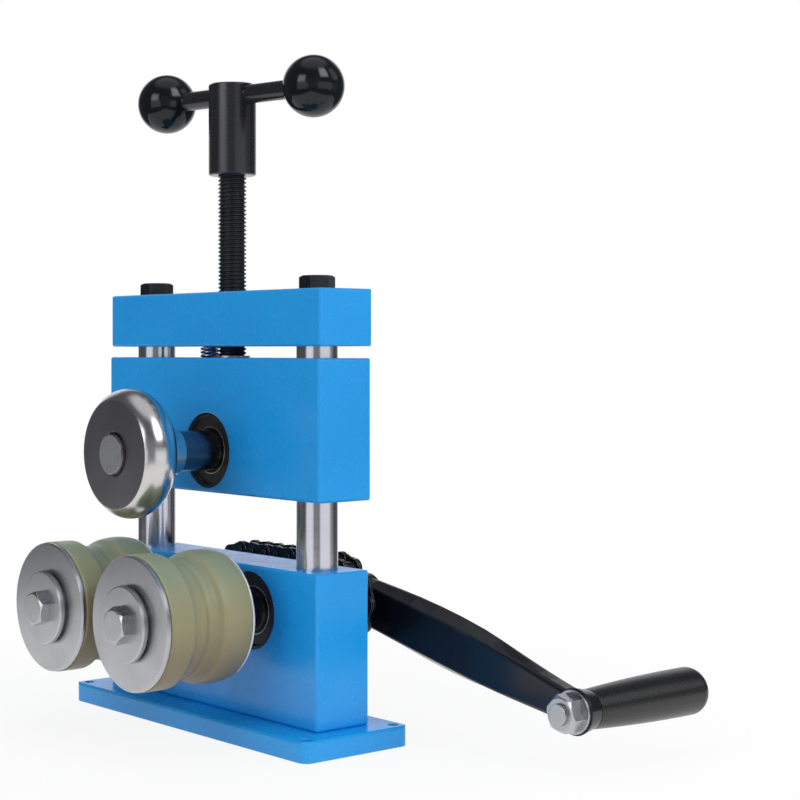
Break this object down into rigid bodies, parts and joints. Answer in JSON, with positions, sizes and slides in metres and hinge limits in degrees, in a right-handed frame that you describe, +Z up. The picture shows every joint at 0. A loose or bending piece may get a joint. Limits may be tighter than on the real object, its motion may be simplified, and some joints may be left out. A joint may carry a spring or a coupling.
{
  "type": "ring roller",
  "caption": "Bench ring roller with crank and chain driven lower rollers and a crowned upper roller pressed down by a hand screw",
  "frame": {"origin": "on the underside of the base plate, straight below the pressing screw", "axes": "+Z up along the pressing screw, +Y from the rollers towards the crank, parallel to the roller shafts, +X along the blocks towards the crank's side"},
  "size_m": [0.3655, 0.2862, 0.4131],
  "materials": {
    "blue_paint": "semi-gloss blue enamel",
    "ground_steel": "ground and polished",
    "turned_steel": "turned, slightly oiled",
    "zinc": "zinc plated",
    "black_oxide": "black oxide",
    "black_iron": "gloss black coated casting",
    "black_plastic": "moulded gloss black",
    "seal_rubber": "moulded",
    "polyurethane": "translucent olive polyurethane"
  },
  "bodies": {
    "frame": {"base_plate": "blue_paint", "base_screws": "black_oxide", "lower_block": "blue_paint", "guide_posts": "ground_steel", "top_bar": "blue_paint", "post_bolts": "black_oxide", "lower_bearing_outer_rings": "ground_steel", "lower_bearing_seals": "seal_rubber", "lower_bearing_balls": "ground_steel", "lower_retaining_rings": "black_oxide", "chain_rollers": "black_oxide", "chain_bushes": "black_oxide", "chain_pins": "black_oxide", "chain_inner_plates": "black_oxide", "chain_outer_plates": "black_oxide", "spring_top_plug": "turned_steel", "return_spring": "ground_steel"},
    "upper_block_body": {"upper_block": "blue_paint", "upper_bearing_outer_rings": "ground_steel", "upper_bearing_seals": "seal_rubber", "upper_bearing_balls": "ground_steel", "upper_retaining_rings": "black_oxide", "thrust_washer": "turned_steel", "spring_bottom_plug": "turned_steel"},
    "screw": {"pressing_screw": "black_oxide", "handle_hub": "black_oxide", "cross_bar": "black_oxide", "ball_knobs": "black_plastic"},
    "upper_roller_body": {"upper_shaft": "turned_steel", "upper_roller": "ground_steel", "upper_bearing_inner_rings": "ground_steel", "upper_shaft_clip": "black_oxide"},
    "drive": {"drive_shaft": "turned_steel", "drive_roller_core": "turned_steel", "drive_tyre": "polyurethane", "drive_front_flange": "turned_steel", "drive_step_washer": "turned_steel", "drive_roller_bolt": "zinc", "drive_bearing_inner_rings": "ground_steel", "drive_sprocket": "turned_steel", "drive_keys": "turned_steel", "crank_arm": "black_iron", "crank_screw": "zinc", "crank_washer": "zinc", "grip_spindle": "zinc", "grip_nut": "zinc", "grip_washer": "zinc", "grip_clip": "black_oxide"},
    "driven": {"driven_shaft": "turned_steel", "driven_roller_core": "turned_steel", "driven_tyre": "polyurethane", "driven_front_flange": "turned_steel", "driven_step_washer": "turned_steel", "driven_roller_bolt": "zinc", "driven_bearing_inner_rings": "ground_steel", "driven_sprocket": "turned_steel", "driven_keys": "turned_steel", "driven_shaft_clip": "black_oxide"},
    "grip": {"crank_grip": "black_plastic"}
  },
  "joints": [
    {"name": "block_slide", "type": "slide", "parent": "frame", "child": "upper_block_body", "axis": [0, 0, 1], "range_m": [-0.0347, 0.0056], "deforming": ["return_spring"]},
    {"name": "screw_turn", "type": "hinge", "parent": "upper_block_body", "child": "screw", "pos_m": [0, 0, 0.37], "axis": [0, 0, 1], "range_deg": [-4982.4, 792]},
    {"name": "upper_roller_spin", "type": "hinge", "parent": "upper_block_body", "child": "upper_roller_body", "pos_m": [0, -0.0775, 0.1712], "axis": [0, 1, 0], "continuous": true},
    {"name": "drive_spin", "type": "hinge", "parent": "frame", "child": "drive", "pos_m": [0.04445, 0, 0.0762], "axis": [0, 1, 0], "continuous": true, "deforming": ["chain_rollers", "chain_bushes", "chain_pins", "chain_inner_plates", "chain_outer_plates"]},
    {"name": "driven_spin", "type": "hinge", "parent": "frame", "child": "driven", "pos_m": [-0.04445, 0, 0.0762], "axis": [0, 1, 0], "continuous": true},
    {"name": "grip_spin", "type": "hinge", "parent": "drive", "child": "grip", "pos_m": [0.23221, 0.12, 0.03375], "axis": [0, 1, 0], "continuous": true}
  ],
  "couplings": [
    {"joint": "block_slide", "follows": "screw_turn", "m_per_rad": 0.00039789},
    {"joint": "driven_spin", "follows": "drive_spin", "ratio": 1}
  ]
}
